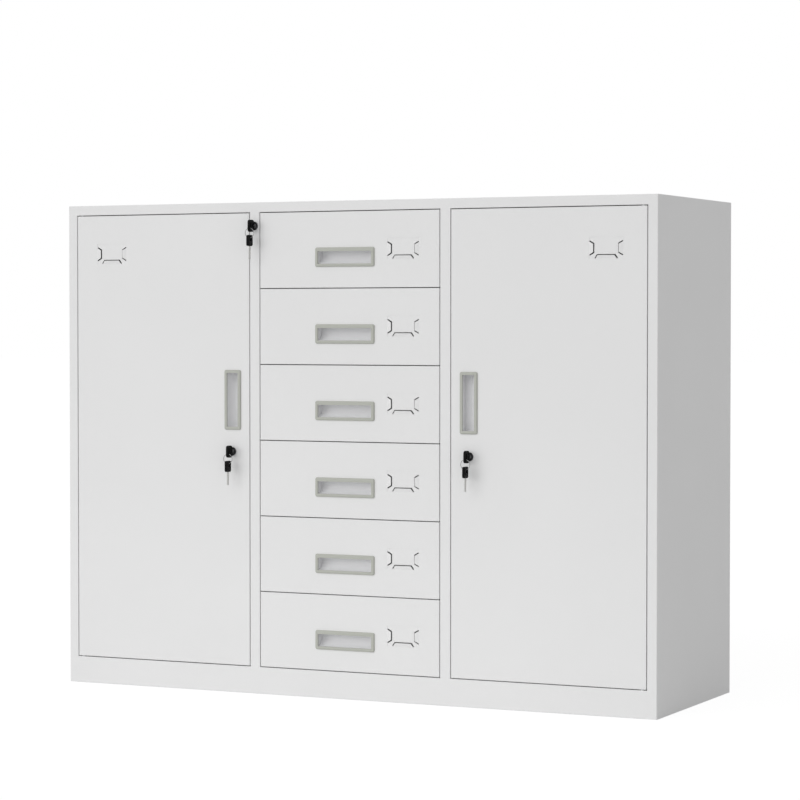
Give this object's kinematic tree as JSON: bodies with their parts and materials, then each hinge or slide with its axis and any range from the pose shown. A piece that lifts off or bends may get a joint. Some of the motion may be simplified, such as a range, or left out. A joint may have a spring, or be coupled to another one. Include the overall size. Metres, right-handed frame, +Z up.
{
  "type": "filing cabinet",
  "caption": "Low wide steel storage cabinet with a stack of shallow drawers between two hinged, lockable doors in one flush frame.",
  "frame": {"origin": "on the floor at the middle of the case's footprint, on the foot of the deck's middle channel", "axes": "+X to the right seen from the front, +Y from the front to the back, +Z up; the doors and drawers face -Y"},
  "size_m": [1.18, 0.4169, 0.9],
  "materials": {
    "powder_coat": "light grey powder coat, fine texture, low gloss",
    "pull_plastic": "grey, fine matt grain",
    "key_plastic": "black moulded key heads; the blades are bright steel",
    "lock_metal": "dark nickel plate, satin",
    "ring_wire": "bright spring wire",
    "zinc_steel": "zinc plated, satin",
    "rubber": "matt"
  },
  "bodies": {
    "case": {"side_panel_left": "powder_coat", "side_panel_right": "powder_coat", "top_panel": "powder_coat", "bottom_deck": "powder_coat", "back_panel": "powder_coat", "back_panel_rivets": "zinc_steel", "partition_left": "powder_coat", "partition_right": "powder_coat", "hinge_pins": "zinc_steel", "door_buffers": "rubber", "shelves": "powder_coat", "shelf_standards": "zinc_steel", "shelf_clips": "zinc_steel", "runner_rails": "zinc_steel", "lock_gang_housing": "lock_metal"},
    "door_left": {"door_left_skin": "powder_coat", "door_left_stiffener": "powder_coat", "door_left_pull": "pull_plastic", "lock_left_housing": "lock_metal"},
    "door_right": {"door_right_skin": "powder_coat", "door_right_stiffener": "powder_coat", "door_right_pull": "pull_plastic", "lock_right_housing": "lock_metal"},
    "drawer_1": {"drawer_1_front": "powder_coat", "drawer_1_box": "powder_coat", "drawer_1_pull": "pull_plastic", "drawer_1_runners": "zinc_steel"},
    "drawer_2": {"drawer_2_front": "powder_coat", "drawer_2_box": "powder_coat", "drawer_2_pull": "pull_plastic", "drawer_2_runners": "zinc_steel"},
    "drawer_3": {"drawer_3_front": "powder_coat", "drawer_3_box": "powder_coat", "drawer_3_pull": "pull_plastic", "drawer_3_runners": "zinc_steel"},
    "drawer_4": {"drawer_4_front": "powder_coat", "drawer_4_box": "powder_coat", "drawer_4_pull": "pull_plastic", "drawer_4_runners": "zinc_steel"},
    "drawer_5": {"drawer_5_front": "powder_coat", "drawer_5_box": "powder_coat", "drawer_5_pull": "pull_plastic", "drawer_5_runners": "zinc_steel"},
    "drawer_6": {"drawer_6_front": "powder_coat", "drawer_6_box": "powder_coat", "drawer_6_pull": "pull_plastic", "drawer_6_runners": "zinc_steel"},
    "lock_left": {"lock_left_plug": "zinc_steel", "lock_left_key": "key_plastic"},
    "ring_left": {"lock_left_ring": "ring_wire"},
    "spare_left": {"lock_left_spare_key": "key_plastic"},
    "lock_right": {"lock_right_plug": "zinc_steel", "lock_right_key": "key_plastic"},
    "ring_right": {"lock_right_ring": "ring_wire"},
    "spare_right": {"lock_right_spare_key": "key_plastic"},
    "lock_gang": {"lock_gang_plug": "zinc_steel", "lock_gang_key": "key_plastic"},
    "ring_gang": {"lock_gang_ring": "ring_wire"},
    "spare_gang": {"lock_gang_spare_key": "key_plastic"},
    "gang_bar": {"gang_lock_bar": "zinc_steel"}
  },
  "joints": [
    {"name": "door_left_hinge", "type": "hinge", "parent": "case", "child": "door_left", "pos_m": [-0.562, -0.19, 0.4655], "axis": [0, 0, -1], "range_deg": [0, 110]},
    {"name": "door_right_hinge", "type": "hinge", "parent": "case", "child": "door_right", "pos_m": [0.562, -0.19, 0.4655], "axis": [0, 0, 1], "range_deg": [0, 110]},
    {"name": "drawer_1_slide", "type": "slide", "parent": "case", "child": "drawer_1", "axis": [0, -1, 0], "range_m": [0, 0.2625]},
    {"name": "drawer_2_slide", "type": "slide", "parent": "case", "child": "drawer_2", "axis": [0, -1, 0], "range_m": [0, 0.2625]},
    {"name": "drawer_3_slide", "type": "slide", "parent": "case", "child": "drawer_3", "axis": [0, -1, 0], "range_m": [0, 0.2625]},
    {"name": "drawer_4_slide", "type": "slide", "parent": "case", "child": "drawer_4", "axis": [0, -1, 0], "range_m": [0, 0.2625]},
    {"name": "drawer_5_slide", "type": "slide", "parent": "case", "child": "drawer_5", "axis": [0, -1, 0], "range_m": [0, 0.2625]},
    {"name": "drawer_6_slide", "type": "slide", "parent": "case", "child": "drawer_6", "axis": [0, -1, 0], "range_m": [0, 0.2625]},
    {"name": "lock_left_turn", "type": "hinge", "parent": "door_left", "child": "lock_left", "pos_m": [-0.2383, -0.195, 0.444], "axis": [0, -1, 0], "range_deg": [0, 90]},
    {"name": "ring_left_hang", "type": "hinge", "parent": "lock_left", "child": "ring_left", "pos_m": [-0.2383, -0.2125, 0.43525], "axis": [0, 1, 0], "range_deg": [0, 90]},
    {"name": "spare_left_swing", "type": "hinge", "parent": "ring_left", "child": "spare_left", "pos_m": [-0.2383, -0.2125, 0.422], "axis": [-1, 0, 0], "range_deg": [-15, 60]},
    {"name": "lock_right_turn", "type": "hinge", "parent": "door_right", "child": "lock_right", "pos_m": [0.2383, -0.195, 0.444], "axis": [0, 1, 0], "range_deg": [0, 90]},
    {"name": "ring_right_hang", "type": "hinge", "parent": "lock_right", "child": "ring_right", "pos_m": [0.2383, -0.2125, 0.43525], "axis": [0, -1, 0], "range_deg": [0, 90]},
    {"name": "spare_right_swing", "type": "hinge", "parent": "ring_right", "child": "spare_right", "pos_m": [0.2383, -0.2125, 0.422], "axis": [-1, 0, 0], "range_deg": [-15, 60]},
    {"name": "lock_gang_turn", "type": "hinge", "parent": "case", "child": "lock_gang", "pos_m": [-0.1925, -0.195, 0.857], "axis": [0, -1, 0], "range_deg": [0, 90]},
    {"name": "ring_gang_hang", "type": "hinge", "parent": "lock_gang", "child": "ring_gang", "pos_m": [-0.1925, -0.2125, 0.84825], "axis": [0, 1, 0], "range_deg": [0, 90]},
    {"name": "spare_gang_swing", "type": "hinge", "parent": "ring_gang", "child": "spare_gang", "pos_m": [-0.1925, -0.2125, 0.835], "axis": [-1, 0, 0], "range_deg": [-15, 60]},
    {"name": "gang_bar_lift", "type": "slide", "parent": "case", "child": "gang_bar", "axis": [0, 0, 1], "range_m": [0, 0.00778]}
  ],
  "couplings": [
    {"joint": "ring_left_hang", "follows": "lock_left_turn", "ratio": 1},
    {"joint": "ring_right_hang", "follows": "lock_right_turn", "ratio": 1},
    {"joint": "lock_gang_turn", "follows": "gang_bar_lift", "rad_per_m": 201.95},
    {"joint": "ring_gang_hang", "follows": "gang_bar_lift", "rad_per_m": 201.95}
  ]
}
